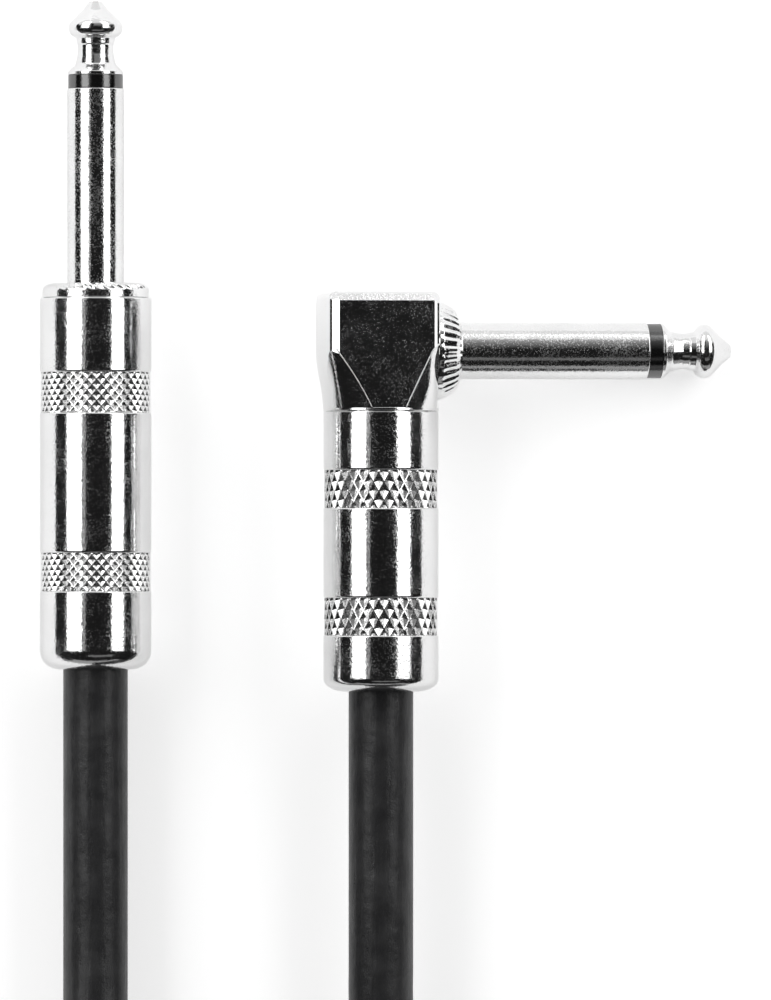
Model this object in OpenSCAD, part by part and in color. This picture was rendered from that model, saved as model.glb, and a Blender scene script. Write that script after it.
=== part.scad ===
// Instrument cable with a straight 6.35 mm mono plug and a right-angle one.
// Both plugs lie on the surface, the spare cable is wound in a tied coil below them.
// Millimetres. X runs from the straight plug to the angled one, Y towards the straight
// plug's tip, Z up from the surface. The origin is under the middle of the two plugs.

/* [Plug finger] */
// Diameter of the sleeve contact, the standard quarter inch
finger_d = 6.35; // [6.25:0.01:6.4]
// Widest diameter of the tip's ball
ball_d = 6.16; // [5.9:0.01:6.2]
// Diameter of the neck behind the ball
neck_d = 4.03; // [3.8:0.01:4.3]
// Diameter of the flat on the nose
nose_d = 1.44; // [1.2:0.02:1.6]
// Radius that rounds the ball's widest edge
ball_edge_r = 1.3; // [1.1:0.05:1.4]
// Half angle of the nose cone, in degrees
nose_angle = 41; // [38:1:44]
// Half angle of the ball's back slope, in degrees
back_angle = 38; // [36:1:41]
// Length of the flare between the neck and the insulating ring
flare_len = 2.38; // [2.2:0.02:2.6]
// Thickness of the black insulating ring
ring_t = 1.55; // [1.4:0.05:1.7]
// Diameter of the insulating ring, a little under the sleeve
ring_d = 6.02; // [5.9:0.01:6.02]
// Diameter of the rod that joins the tip to its lug
rod_d = 2.3; // [2:0.05:2.5]
// Diameter of the insulating tube inside the sleeve
core_tube_d = 3.4; // [3.2:0.05:3.6]
// Diameter of the sleeve's inner end, which is pressed in behind the collar
seat_d = 5.8; // [5.6:0.05:5.85]

/* [Straight plug] */
// Length of the sleeve contact outside the collar
straight_sleeve_len = 21.7; // [20:0.1:24]
// Length of the straight part of the tip's neck
straight_neck_len = 0.8; // [0.4:0.1:1.6]
// Length of the collar in front of the barrel
straight_collar_len = 1.6; // [1.3:0.1:2.4]
// Diameter of the collar behind its ridged edge
straight_collar_d = 11.8; // [11.6:0.05:12.2]
// Diameter of the collar's front face
straight_face_d = 9.1; // [8.6:0.1:9.6]
// Length of the collar's ridged edge along the axis
straight_ridge_len = 0.8; // [0.5:0.1:1.2]
// Outside diameter of the barrel
straight_barrel_d = 12.45; // [12.2:0.05:13]
// Wall of the barrel round its bore, which is also that of the thread
straight_barrel_wall = 0.925; // [0.825:0.05:1.025]
// Length of the barrel
straight_barrel_len = 41.4; // [40:0.1:46]
// Radius of the barrel's rear edge
straight_rear_r = 2; // [1:0.1:2.2]
// Distance from the barrel's front to its front knurl
straight_knurl_a = 8.05; // [7:0.05:10]
// Length of the front knurl
straight_knurl_a_len = 5.05; // [4:0.05:6]
// Distance from the barrel's front to its rear knurl
straight_knurl_b = 28.15; // [26:0.05:30]
// Length of the rear knurl
straight_knurl_b_len = 4.8; // [4:0.05:6]
// How far the barrel slides back once it is unscrewed
straight_travel = 29; // [24:1:30]

/* [Angled plug] */
// Length of the sleeve contact outside the collar
angled_sleeve_len = 21.2; // [20:0.1:22]
// Length of the straight part of the tip's neck
angled_neck_len = 0.6; // [0.4:0.1:1.2]
// Length of the ridged collar at the root of the finger
angled_collar_len = 3.1; // [2.8:0.1:3.6]
// Largest diameter of that collar
angled_collar_d = 11.2; // [10.6:0.1:11.6]
// Diameter of the collar where its end starts to round
angled_collar_end_d = 9.7; // [9.2:0.1:10.2]
// Outside diameter of the barrel
angled_barrel_d = 12.8; // [12.4:0.05:13]
// Wall of the barrel round its bore, which is also that of the thread
angled_barrel_wall = 1.1; // [1:0.05:1.2]
// Length of the barrel
angled_barrel_len = 31.2; // [30:0.1:36]
// Radius of the barrel's rear edge
angled_rear_r = 1.55; // [0.8:0.05:1.8]
// Distance from the barrel's front to its front knurl
angled_knurl_a = 6.3; // [5:0.05:8]
// Length of the front knurl
angled_knurl_a_len = 4.75; // [4:0.05:6]
// Distance from the barrel's front to its rear knurl
angled_knurl_b = 20.5; // [18:0.05:21.5]
// Length of the rear knurl
angled_knurl_b_len = 4.7; // [4:0.05:6]
// How far the barrel slides back once it is unscrewed
angled_travel = 25; // [20:1:25]
// Height of the housing block above the barrel
block_h = 13.25; // [12.6:0.05:14]
// From the barrel's axis to the block's face at the finger
block_front = 5.6; // [5.4:0.05:6]
// From the barrel's axis to the block's far face
block_back = 6.55; // [6.3:0.05:6.8]
// Half the thickness of the block across the finger
block_half = 6.2; // [6:0.05:6.3]
// Radius of the block's upright edges
block_edge_r = 0.9; // [0.5:0.1:1.2]
// Height of the finger's axis above the barrel
finger_h = 6.75; // [6.4:0.05:7]
// Diameter of the round cover on the block's far face
back_cover_d = 6; // [5.4:0.1:6.4]
// Thickness of that cover
back_cover_t = 0.8; // [0.6:0.1:1]
// Roll of the plug about its barrel that brings the tip down to the surface, in degrees
roll = 8.5; // [7:0.5:10]

/* [Both barrels] */
// Depth of the knurls below the barrel's surface
knurl_depth = 0.2; // [0.1:0.05:0.3]
// Thickness of the barrel's rear wall
rear_wall = 3; // [2.4:0.1:3.4]
// Diameter of the hole that the cable leaves through
exit_hole_d = 7.8; // [7.6:0.1:8.2]
// Wall of the insulating liner
liner_t = 0.4; // [0.3:0.05:0.5]
// Distance from one plug's barrel axis to the other's
plug_spacing = 31.8; // [28:0.1:36]
// How far the angled barrel's front lies behind the straight one's
seam_offset = 12.65; // [10:0.05:16]

/* [Terminals] */
// Length of the threaded stub behind the straight plug's collar
straight_stub_len = 8; // [7:0.1:9]
// Length of the threaded stub under the angled plug's block
angled_stub_len = 7; // [6:0.1:8]
// Thickness of the ground clamp's sheet
clamp_t = 0.65; // [0.5:0.05:0.7]
// Thickness of the tip lug's sheet
lug_t = 0.6; // [0.4:0.05:0.7]
// Width of the tip lug's strip
lug_w = 2.6; // [2:0.1:3]
// Diameter of the tip lug's eye
lug_eye_d = 4.8; // [4.6:0.1:5.2]
// Thickness of the insulating washer behind the straight plug's clamp
washer_t = 1.35; // [1:0.05:1.6]
// Diameter of that washer
washer_d = 5.8; // [5.4:0.1:6]
// Length of the crimped ears that hold the cable
ear_len = 5.5; // [4:0.1:6]
// From the end of the cable's jacket to the crimped ears
ear_gap = 1.8; // [1:0.1:2.5]
// From the barrel's front to the end of the jacket in the straight plug
straight_jacket_at = 19.6; // [18.6:0.1:20]
// From the barrel's front to the end of the jacket in the angled plug
angled_jacket_at = 15.6; // [15:0.1:16]

/* [Cable] */
// Outside diameter of the cable
cable_d = 7.2; // [7:0.05:7.25]
// Diameter of the insulation round the inner conductor
core_d = 2.6; // [2.2:0.1:3]
// Diameter of the stranded inner conductor
wire_d = 0.8; // [0.6:0.05:1]
// Diameter of the twisted end of the screen
pigtail_d = 1.4; // [1.2:0.05:1.6]
// Diameter of the solder joints
solder_d = 2.2; // [2:0.1:2.4]
// Length of the solder joints
solder_len = 1.8; // [1.4:0.1:2.2]

/* [Coil] */
// Radius of the coil's inner turns, to the middle of the cable
coil_inner_r = 23; // [22:0.5:24]
// Step from one turn to the next, sideways and upwards
coil_step = 7.7; // [7.7:0.05:7.9]
// Turns that the coil makes before the part turn that brings it to its end
coil_turns = 12; // [8:4:12]
// Width of the strap that ties the coil
strap_w = 12; // [8:1:20]
// Thickness of the strap
strap_t = 1; // [0.8:0.1:1.2]

/* [Hidden] */

$fn = 96;
press = 0.03;        // radial gap between parts that are pressed or staked together
running = 0.05;      // radial gap between a barrel's bore and the stub it screws on
loose = 0.3;         // gap between parts of different bodies that pass each other
seam = 0.05;         // gap between a barrel's front and what it screws up against
edge = 0.15;         // small chamfer that breaks a turned edge
nickel = [0.80, 0.80, 0.81];
black = [0.04, 0.04, 0.045];

// ---- the finger -------------------------------------------------------------------

seat_r = seat_d / 2;
ball_c = ball_d / 2 - ball_edge_r;                  // radius at which the ball's edge is centred
ball_at = (ball_c + ball_edge_r * cos(nose_angle) - nose_d / 2) / tan(nose_angle)
          + ball_edge_r * sin(nose_angle);          // from the nose back to the ball's widest edge
neck_at = ball_at + ball_edge_r * sin(back_angle)
          + (ball_c + ball_edge_r * cos(back_angle) - neck_d / 2) / tan(back_angle);
straight_tip_len = neck_at + straight_neck_len + flare_len;
angled_tip_len = neck_at + angled_neck_len + flare_len;

// Half outline of a tip with its rod: the nose is at 0 and the rod runs down
module tip_outline(tip_len, rod_end) {
    cone_x = ball_c + ball_edge_r * cos(nose_angle);
    cone_y = ball_at - ball_edge_r * sin(nose_angle);
    back_x = ball_c + ball_edge_r * cos(back_angle);
    back_y = ball_at + ball_edge_r * sin(back_angle);
    flare = tip_len - flare_len;
    polygon([
        [0, 0], [nose_d / 2, 0], [cone_x, -cone_y], [back_x, -back_y], [neck_d / 2, -neck_at],
        [neck_d / 2, -flare], [neck_d / 2 + 0.04 * flare_len, -flare - 0.25 * flare_len],
        [neck_d / 2 + 0.11 * flare_len, -flare - 0.46 * flare_len],
        [ring_d / 2, -flare - 0.84 * flare_len], [ring_d / 2, -tip_len],
        [rod_d / 2, -tip_len], [rod_d / 2, -rod_end], [0, -rod_end]
    ]);
    translate([ball_c, -ball_at]) circle(ball_edge_r);
}

// A tube with its lower end at z0 and its upper end at z1
module tube(outer_d, inner_d, z0, z1) {
    translate([0, 0, z0])
        difference() {
            cylinder(d = outer_d, h = z1 - z0);
            translate([0, 0, -1]) cylinder(d = inner_d, h = z1 - z0 + 2);
        }
}

// The black ring between tip and sleeve, with the tube that lines the sleeve
module tip_insulator(ring_z, tube_end) {
    tube(ring_d, rod_d + 2 * press, ring_z, ring_z + ring_t);
    tube(core_tube_d, rod_d + 2 * press, tube_end, ring_z);
}

// ---- barrels, liners and terminals ------------------------------------------------

straight_bore_r = straight_barrel_d / 2 - straight_barrel_wall;
angled_bore_r = angled_barrel_d / 2 - angled_barrel_wall;
straight_stub_r = straight_bore_r - running;
angled_stub_r = angled_bore_r - running;
hole_r = exit_hole_d / 2;

// Radius that everything behind the stub stays inside, within the liner
function clamp_radius(bore_r) = bore_r - 2 * loose - liner_t;
// Inner radius of the crimped ears
function grip_radius(bore_r) = clamp_radius(bore_r) - clamp_t;

// Half outline of a barrel with its front at 0: knurls are shallow bands, the rear edge is round
module barrel(d, bore_r, len, rear_r, bands) {
    r = d / 2;
    low = r - knurl_depth;
    round_r = min(rear_r, r - hole_r - edge);    // the rear edge's round stops short of the cable's hole
    rotate_extrude()
        polygon(concat(
            [[bore_r, -seam], [r - edge, -seam], [r, -seam - edge]],
            [for (b = bands) each [
                [r, -b[0]], [low, -b[0] - edge], [low, -b[0] - b[1] + edge], [r, -b[0] - b[1]]
            ]],
            [for (a = [0:18:90]) [r, -len] + round_r * [cos(a) - 1, 1 - sin(a)]],
            [[hole_r, -len], [hole_r, rear_wall - len], [bore_r, rear_wall - len]]
        ));
}

module liner(bore_r, stub_len, barrel_len) {
    liner_r = bore_r - loose;
    tube(2 * liner_r, 2 * (liner_r - liner_t), rear_wall + loose - barrel_len, -stub_len - loose);
}

// A wedge that opens from the axis, half_angle to each side of the angle at
module wedge(reach, at, half_angle, z0, z1) {
    translate([0, 0, z0])
        linear_extrude(z1 - z0)
            polygon([[0, 0], for (k = [-2:2]) reach * [cos(at + k * half_angle / 2), sin(at + k * half_angle / 2)]]);
}

// Ground clamp: an eye seated on the stub, a side strip and two ears crimped round the jacket
module ground_clamp(bore_r, stub_len, eye_hole_d, jacket_at, side) {
    clamp_r = clamp_radius(bore_r);
    reach = 3 * clamp_r;
    ears = jacket_at + ear_gap;
    tube(2 * clamp_r, eye_hole_d, -stub_len - clamp_t, -stub_len);
    intersection() {
        tube(2 * clamp_r, 2 * grip_radius(bore_r), -ears - ear_len, -stub_len - clamp_t);
        union() {
            wedge(reach, side, 22, -ears - ear_len, -stub_len);
            wedge(reach, side + 75, 75, -ears - ear_len, -ears);
            wedge(reach, side - 75, 75, -ears - ear_len, -ears);
        }
    }
}

// The stripped end of the cable points from the jacket's end towards the lug
core_len = 1.8;                              // bared insulation beyond the jacket
wire_len = 4.2;                              // bared conductor beyond the jacket
pigtail_len = 4.6;                           // twisted screen beyond the jacket
solder_at = 3.4;                             // from the jacket's end to the solder joints
strip_gap = 0.1;                             // the twisted screen lies this far under the strip
function pigtail_x(bore_r) = grip_radius(bore_r) - pigtail_d / 2 - strip_gap;

module core(jacket_at) {
    translate([0, 0, -jacket_at]) cylinder(d = core_d, h = core_len);
}

module wire(jacket_at) {
    translate([0, 0, core_len - jacket_at]) cylinder(d = wire_d, h = wire_len - core_len);
}

module pigtail(bore_r, jacket_at, side) {
    rotate(side) translate([pigtail_x(bore_r), 0, -jacket_at]) cylinder(d = pigtail_d, h = pigtail_len);
}

// Two solder joints: wire to lug, and twisted screen to strip
module solder(bore_r, jacket_at, side, lug_face) {
    z = solder_at - solder_len / 2 - jacket_at;
    joint_x = grip_radius(bore_r) - solder_d / 2;
    difference() {
        rotate(side + 180) translate([lug_face - solder_d / 2, 0, z]) cylinder(d = solder_d, h = solder_len);
        translate([0, 0, z - 1]) cylinder(d = wire_d, h = solder_len + 2);
    }
    difference() {
        rotate(side) translate([joint_x, 0, z]) cylinder(d = solder_d, h = solder_len);
        rotate(side) translate([pigtail_x(bore_r), 0, z - 1]) cylinder(d = pigtail_d, h = solder_len + 2);
    }
}

// ---- where the plugs lie ----------------------------------------------------------

straight_finger = straight_collar_len + straight_sleeve_len + ring_t + straight_tip_len;
shoulder_x = block_front + angled_collar_len;
angled_reach = shoulder_x + angled_sleeve_len + ring_t + angled_tip_len;
plugs_w = straight_barrel_d / 2 + plug_spacing + angled_reach * cos(roll) + nose_d / 2 * sin(roll);
plugs_l = straight_finger + seam_offset + angled_barrel_len;
straight_x = (straight_barrel_d - plugs_w) / 2;
straight_y = plugs_l / 2 - straight_finger;
straight_z = straight_barrel_d / 2;
angled_x = straight_x + plug_spacing;
angled_y = straight_y - seam_offset;
angled_z = (angled_reach - ball_at) * sin(roll) + ball_c * cos(roll) + ball_edge_r;

// Puts a straight-plug piece, drawn with its tip up and its barrel's front at 0, in its place
module lay_straight() {
    translate([straight_x, straight_y, straight_z]) rotate([-90, 0, 0]) children();
}

// Puts an angled-plug piece, drawn with its block up and its finger along X, in its place
module lay_angled() {
    translate([angled_x, angled_y, angled_z]) rotate([0, roll, 0]) rotate([-90, 0, 0]) children();
}

// ---- straight plug ----------------------------------------------------------------

ring_z = straight_collar_len + straight_sleeve_len;  // where the sleeve ends and the ring starts
stake_z = straight_stub_len + clamp_t;               // the sleeve is staked over the clamp's eye here
stake_d = 5.2;                                       // diameter of the sleeve's staked tail
seat_z = straight_stub_len - 1;                      // shoulder inside the collar that the sleeve seats on
lug_z = stake_z + press + washer_t;                  // front face of the tip lug
head_len = 0.5;                                      // height of the rod's riveted head
straight_lug_face = 1.4;                             // from the axis to the lug strip's near face
strip_end = 1.8;                                     // the lug's strip stops this far from the jacket
ground_side = -90;                                   // side of the straight plug that the ground strip is on

module straight_tip() {
    color(nickel)
        lay_straight() {
            translate([0, 0, straight_finger])
                rotate_extrude() tip_outline(straight_tip_len, straight_finger + lug_z + lug_t);
            translate([0, 0, -lug_z - lug_t - head_len])
                cylinder(d1 = rod_d - 2 * edge, d2 = rod_d + 2 * edge, h = head_len);
        }
}

module straight_tip_insulator() {
    color(black) lay_straight() tip_insulator(ring_z, -stake_z);
}

module straight_sleeve() {
    color(nickel)
        lay_straight()
            difference() {
                union() {
                    translate([0, 0, straight_collar_len]) cylinder(d = finger_d, h = straight_sleeve_len);
                    translate([0, 0, -seat_z]) cylinder(d = seat_d, h = seat_z + straight_collar_len);
                    translate([0, 0, -stake_z]) cylinder(d = stake_d, h = stake_z);
                }
                translate([0, 0, -stake_z - 1]) cylinder(d = core_tube_d + 2 * press, h = stake_z + ring_z + 2);
            }
}

module straight_collar() {
    face = straight_collar_len;
    color(nickel)
        lay_straight()
            rotate_extrude()
                polygon([
                    [seat_r + press, face], [straight_face_d / 2, face],
                    [straight_collar_d / 2, face - straight_ridge_len], [straight_collar_d / 2, 0],
                    [straight_stub_r, 0], [straight_stub_r, -straight_stub_len + edge],
                    [straight_stub_r - edge, -straight_stub_len],
                    [stake_d / 2 + press, -straight_stub_len], [stake_d / 2 + press, -seat_z],
                    [seat_r + press, -seat_z]
                ]);
}

module straight_ground_clamp() {
    color("goldenrod")
        lay_straight()
            ground_clamp(straight_bore_r, straight_stub_len, stake_d + 2 * press, straight_jacket_at,
                         ground_side);
}

module straight_washer() {
    color("saddlebrown")
        lay_straight() tube(washer_d, rod_d + 2 * press, -lug_z, -stake_z - press);
}

module straight_tip_lug() {
    color("goldenrod")
        lay_straight() {
            difference() {
                tube(lug_eye_d, rod_d + 2 * press, -lug_z - lug_t, -lug_z);
                translate([-lug_w, straight_lug_face + lug_t, -lug_z - 2 * lug_t])
                    cube([2 * lug_w, lug_w, 3 * lug_t]);
            }
            translate([-lug_w / 2, straight_lug_face, strip_end - straight_jacket_at])
                cube([lug_w, lug_t, straight_jacket_at - strip_end - lug_z - lug_t]);
        }
}

module straight_core() { color("white") lay_straight() core(straight_jacket_at); }

module straight_wire() { color("peru") lay_straight() wire(straight_jacket_at); }

module straight_screen() {
    color("peru") lay_straight() pigtail(straight_bore_r, straight_jacket_at, ground_side);
}

module straight_solder() {
    color("silver")
        lay_straight() solder(straight_bore_r, straight_jacket_at, ground_side, straight_lug_face);
}

module straight_liner() {
    color("whitesmoke") lay_straight() liner(straight_bore_r, straight_stub_len, straight_barrel_len);
}

module straight_barrel() {
    color(nickel)
        lay_straight()
            barrel(straight_barrel_d, straight_bore_r, straight_barrel_len, straight_rear_r,
                   [[straight_knurl_a, straight_knurl_a_len], [straight_knurl_b, straight_knurl_b_len]]);
}

// ---- angled plug ------------------------------------------------------------------

// The finger's own frame: its axis is +Z, at the finger's height above the barrel
module along_finger() {
    translate([0, 0, finger_h]) rotate([0, 90, 0]) children();
}

tail_x = 1;                                  // inner end of the sleeve, inside the block
bush_len = 2.6;                              // length of the bush that centres the rod
stub_bush_len = 3;                           // length of the bush in the stub
lug_x = tail_x - bush_len;                   // face of the tip lug, on the bush's far side
angled_lug_face = -lug_x;                    // from the barrel's axis to the lug strip's near face
stub_wall = 1.05;                            // wall of the threaded stub
socket_d = 2 * (angled_stub_r - stub_wall);  // bore of the stub, and of the collar's socket
socket_depth = 3;                            // depth of the collar's socket in the block
ledge = 1.1;                                 // wall that the back cover seats on
flare_base = 0.05;                           // the flare's foot stands this far outside the barrel
flare_top = 7.5;                             // height at which the flare has passed the block's corners
angled_side = 0;                             // side of the angled plug that the ground strip is on

module angled_tip() {
    color(nickel)
        lay_angled() along_finger() {
            translate([0, 0, angled_reach])
                rotate_extrude() tip_outline(angled_tip_len, angled_reach - lug_x + lug_t);
            translate([0, 0, lug_x - lug_t - head_len])
                cylinder(d1 = rod_d - 2 * edge, d2 = rod_d + 2 * edge, h = head_len);
        }
}

module angled_tip_insulator() {
    color(black) lay_angled() along_finger() tip_insulator(shoulder_x + angled_sleeve_len, tail_x);
}

module angled_sleeve() {
    bore = core_tube_d + 2 * press;
    color(nickel)
        lay_angled() along_finger() {
            tube(finger_d, bore, shoulder_x, shoulder_x + angled_sleeve_len);
            tube(seat_d, bore, tail_x, shoulder_x);
        }
}

module angled_collar() {
    wide = angled_collar_d / 2;
    end = angled_collar_end_d / 2;
    color(nickel)
        lay_angled() along_finger()
            rotate_extrude()
                polygon([
                    [seat_r + press, block_front - socket_depth + press],
                    [socket_d / 2 - press, block_front - socket_depth + press],
                    [socket_d / 2 - press, block_front], [wide, block_front], [wide, block_front + 0.8],
                    [end, shoulder_x - 0.85], [end - 0.35, shoulder_x - 0.4], [end - 0.85, shoulder_x - 0.15],
                    [end - 1.35, shoulder_x], [seat_r + press, shoulder_x]
                ]);
}

// Plan of the block with round corners
module block_plan() {
    w = block_front + block_back;
    translate([-block_back, -block_half]) {
        translate([block_edge_r, 0]) square([w - 2 * block_edge_r, 2 * block_half]);
        translate([0, block_edge_r]) square([w, 2 * (block_half - block_edge_r)]);
        for (x = [block_edge_r, w - block_edge_r], y = [block_edge_r, 2 * block_half - block_edge_r])
            translate([x, y]) circle(block_edge_r);
    }
}

// A block side with its two top corners bevelled in two steps
module top_bevel(x0, x1) {
    b = block_edge_r;
    polygon([
        [x0, -1], [x1, -1], [x1, block_h - b], [x1 - 0.3 * b, block_h - 0.3 * b], [x1 - b, block_h],
        [x0 + b, block_h], [x0 + 0.3 * b, block_h - 0.3 * b], [x0, block_h - b]
    ]);
}

// Turned foot of the block: it widens from the barrel's diameter until it passes the corners
module block_foot() {
    foot = angled_barrel_d / 2 + flare_base;
    steps = 6;
    rotate_extrude()
        polygon(concat(
            [[0, 0]],
            [for (k = [0:steps]) let (z = flare_top * k / steps) [foot + 0.14 * z + 0.021 * z * z, z]],
            [[2 * block_half, flare_top], [2 * block_half, block_h + 1], [0, block_h + 1]]
        ));
}

module angled_block() {
    color(nickel)
        lay_angled()
            difference() {
                union() {
                    intersection() {
                        linear_extrude(block_h) block_plan();
                        rotate([90, 0, 0]) linear_extrude(4 * block_half, center = true)
                            top_bevel(-block_back, block_front);
                        rotate([90, 0, 90]) linear_extrude(4 * block_half, center = true)
                            top_bevel(-block_half, block_half);
                        block_foot();
                    }
                    translate([0, 0, -angled_stub_len]) cylinder(r = angled_stub_r, h = angled_stub_len + 1);
                }
                // bore of the stub, up to the finger's axis
                translate([0, 0, -angled_stub_len - 1]) cylinder(d = socket_d, h = angled_stub_len + 1 + finger_h);
                // finger's bore, with the collar's socket at one end and the cover's seat at the other
                along_finger() {
                    translate([0, 0, -block_back + back_cover_t + ledge])
                        cylinder(r = seat_r + press, h = 2 * block_back);
                    translate([0, 0, block_front - socket_depth]) cylinder(d = socket_d, h = 2 * socket_depth);
                    translate([0, 0, -block_back - 1]) cylinder(d = back_cover_d - 0.8, h = block_back);
                    translate([0, 0, -block_back - 1]) cylinder(r = back_cover_d / 2 + press, h = 1 + back_cover_t);
                }
            }
}

module angled_back_cover() {
    color(nickel)
        lay_angled() along_finger()
            translate([0, 0, -block_back]) {
                cylinder(d1 = back_cover_d - 2 * edge, d2 = back_cover_d, h = edge);
                translate([0, 0, edge]) cylinder(d = back_cover_d, h = back_cover_t - edge);
            }
}

module angled_inner_bush() {
    color(black) lay_angled() along_finger() tube(seat_d, rod_d + 2 * press, lug_x, tail_x);
}

// The bush in the stub: it keeps the tip lug's strip clear of the wall
module angled_stub_bush() {
    color(black)
        lay_angled()
            difference() {
                translate([0, 0, -angled_stub_len]) cylinder(r = socket_d / 2 - press, h = stub_bush_len);
                translate([lug_x - lug_t - press, -lug_w / 2 - press, -angled_stub_len - 1])
                    cube([lug_t + 2 * press, lug_w + 2 * press, stub_bush_len + 2]);
            }
}

module angled_tip_lug() {
    color("goldenrod")
        lay_angled() {
            along_finger() tube(lug_eye_d, rod_d + 2 * press, lug_x - lug_t, lug_x);
            translate([lug_x - lug_t, -lug_w / 2, strip_end - angled_jacket_at])
                cube([lug_t, lug_w, angled_jacket_at - strip_end + finger_h - rod_d / 2 - 2 * press]);
        }
}

module angled_ground_clamp() {
    color("goldenrod")
        lay_angled()
            ground_clamp(angled_bore_r, angled_stub_len, lug_eye_d + 1, angled_jacket_at, angled_side);
}

module angled_core() { color("white") lay_angled() core(angled_jacket_at); }

module angled_wire() { color("peru") lay_angled() wire(angled_jacket_at); }

module angled_screen() {
    color("peru") lay_angled() pigtail(angled_bore_r, angled_jacket_at, angled_side);
}

module angled_solder() {
    color("silver") lay_angled() solder(angled_bore_r, angled_jacket_at, angled_side, angled_lug_face);
}

module angled_liner() {
    color("whitesmoke") lay_angled() liner(angled_bore_r, angled_stub_len, angled_barrel_len);
}

module angled_barrel() {
    color(nickel)
        lay_angled()
            barrel(angled_barrel_d, angled_bore_r, angled_barrel_len, angled_rear_r,
                   [[angled_knurl_a, angled_knurl_a_len], [angled_knurl_b, angled_knurl_b_len]]);
}

// ---- cable ------------------------------------------------------------------------

cable_r = cable_d / 2;

// The coil winds clockwise, seen from above, from the angled plug's run on the floor layer
// to the straight plug's run on the top one. Angles are measured from +Y towards +X.
layers = 4;
coil_centre = [straight_x + 42, straight_y - 152.5];
coil_start_angle = 21;
coil_end_angle = -80;
coil_z = strap_t + 0.2 + cable_r;            // the lowest layer lies just above the strap
turns = coil_turns + 1 + (coil_end_angle - coil_start_angle) / 360;
climb_turn = 0.5;                            // each climb takes half a turn
layer_turns = (turns - climb_turn * (layers - 1)) / layers;
coil_outer_r = coil_inner_r + layer_turns * coil_step;

// Share of a climb that is done at share s of its half turn
function climb(s) = s - 0.2 * sin(360 * s) / (2 * PI);

// Point of the coil's middle line after w turns
function coil_point(w) =
    let (
        layer = min(layers - 1, floor(w / (layer_turns + climb_turn))),
        u = w - layer * (layer_turns + climb_turn),
        v = max(0, u - layer_turns),
        inward = layer % 2 == 0,
        flat_r = inward ? coil_outer_r - coil_step * u : coil_inner_r + coil_step * u,
        bend_r = (inward ? coil_inner_r : coil_outer_r)
                 + (inward ? -1 : 1) * coil_step * v * (1 - v / climb_turn),
        r = v > 0 ? bend_r : flat_r,
        a = coil_start_angle + 360 * w
    )
    [coil_centre.x + r * sin(a), coil_centre.y + r * cos(a), coil_z + coil_step * (layer + climb(v / climb_turn))];

function unit(v) = v / norm(v);

coil_rings = round(24 * turns);              // 24 rings for each turn
coil_turning = [for (k = [0:coil_rings]) coil_point(turns * k / coil_rings)];
start_way = unit(coil_point(0.002) - coil_point(0));
end_way = unit(coil_point(turns) - coil_point(turns - 0.002));
coil_start = coil_turning[0] - cable_d * start_way;
coil_end = coil_turning[coil_rings] + cable_d * end_way;
coil_path = concat([coil_start], coil_turning, [coil_end]);

// Least distance between points of the coil that are more than half a turn apart, less the cable
half_turn = 12;
coil_gap = min([for (i = [0:coil_rings - half_turn], j = [i + half_turn:coil_rings])
                norm(coil_turning[i] - coil_turning[j])]) - cable_d;
echo(coil_turns = turns, coil_gap_mm = coil_gap);

// Points of the straight plug's run: across, along and up from its axis at the barrel's front
straight_route = [
    [0, -28, 0], [0, -36, 0], [0, -44, 0], [0, -52, 0], [0, -60, 0], [0, -67, 0], [0, -74, 0],
    [0, -80, 0.4], [0, -86, 1.6], [0, -92, 3.8], [0, -98, 7], [0, -103, 10.8], [0, -108, 14.6],
    [0, -114, 17.8], [0, -120, 20], [0, -126, 21.2], [-0.2, -131.4, 21.6]
];

// Points of the angled plug's run, measured the same way from its own axis
angled_route = [
    [0, -24, 0], [0, -32, 0], [0, -40, 0], [0, -48, 0], [0, -56, 0], [0, -61, -0.2], [0, -66, -0.4],
    [0.3, -70.2, -0.8], [1.1, -74.2, -1.3], [2.4, -78, -1.8], [4.2, -81.8, -2.4], [6.5, -85.2, -2.8],
    [9.3, -88.4, -3.2], [12.4, -91.2, -3.5], [15.7, -93.5, -3.6]
];

straight_run = concat(
    [[straight_x, straight_y - straight_jacket_at, straight_z]],
    [for (p = straight_route) [straight_x, straight_y, straight_z] + p],
    [coil_end]
);
angled_run = concat(
    [[angled_x, angled_y - angled_jacket_at, angled_z]],
    [for (p = angled_route) [angled_x, angled_y, angled_z] + p],
    [coil_start]
);

// Direction of a path at its point k; its two ends take the directions given
function way(path, k, first, last) =
    k == 0 ? first : k == len(path) - 1 ? last : unit(unit(path[k + 1] - path[k]) + unit(path[k] - path[k - 1]));

// One closed tube swept along a path
module sweep(path, r, sides, first, last) {
    rings = [
        for (k = [0:len(path) - 1])
            let (
                ahead = way(path, k, first, last),
                across = unit(cross(ahead, [0, 0, 1])),
                up = cross(across, ahead)
            )
            for (s = [0:sides - 1])
                let (a = 360 * s / sides) path[k] + r * (cos(a) * across + sin(a) * up)
    ];
    wall = [
        for (k = [0:len(path) - 2], s = [0:sides - 1])
            let (
                a = k * sides + s,
                b = k * sides + (s + 1) % sides
            )
            each [[a, b, b + sides], [a, b + sides, a + sides]]
    ];
    last_ring = (len(path) - 1) * sides;
    caps = [
        for (s = [1:sides - 2])
            each [[0, s + 1, s], [last_ring, last_ring + s, last_ring + s + 1]]
    ];
    polyhedron(rings, [for (f = concat(wall, caps)) [f[0], f[2], f[1]]]);
}

module cable_straight_run() {
    color(black) sweep(straight_run, cable_r, 12, [0, -1, 0], -end_way);
}

module cable_coil() {
    color(black) sweep(coil_path, cable_r, 6, start_way, end_way);
}

module cable_angled_run() {
    color(black) sweep(angled_run, cable_r, 12, [0, -1, 0], start_way);
}

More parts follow.
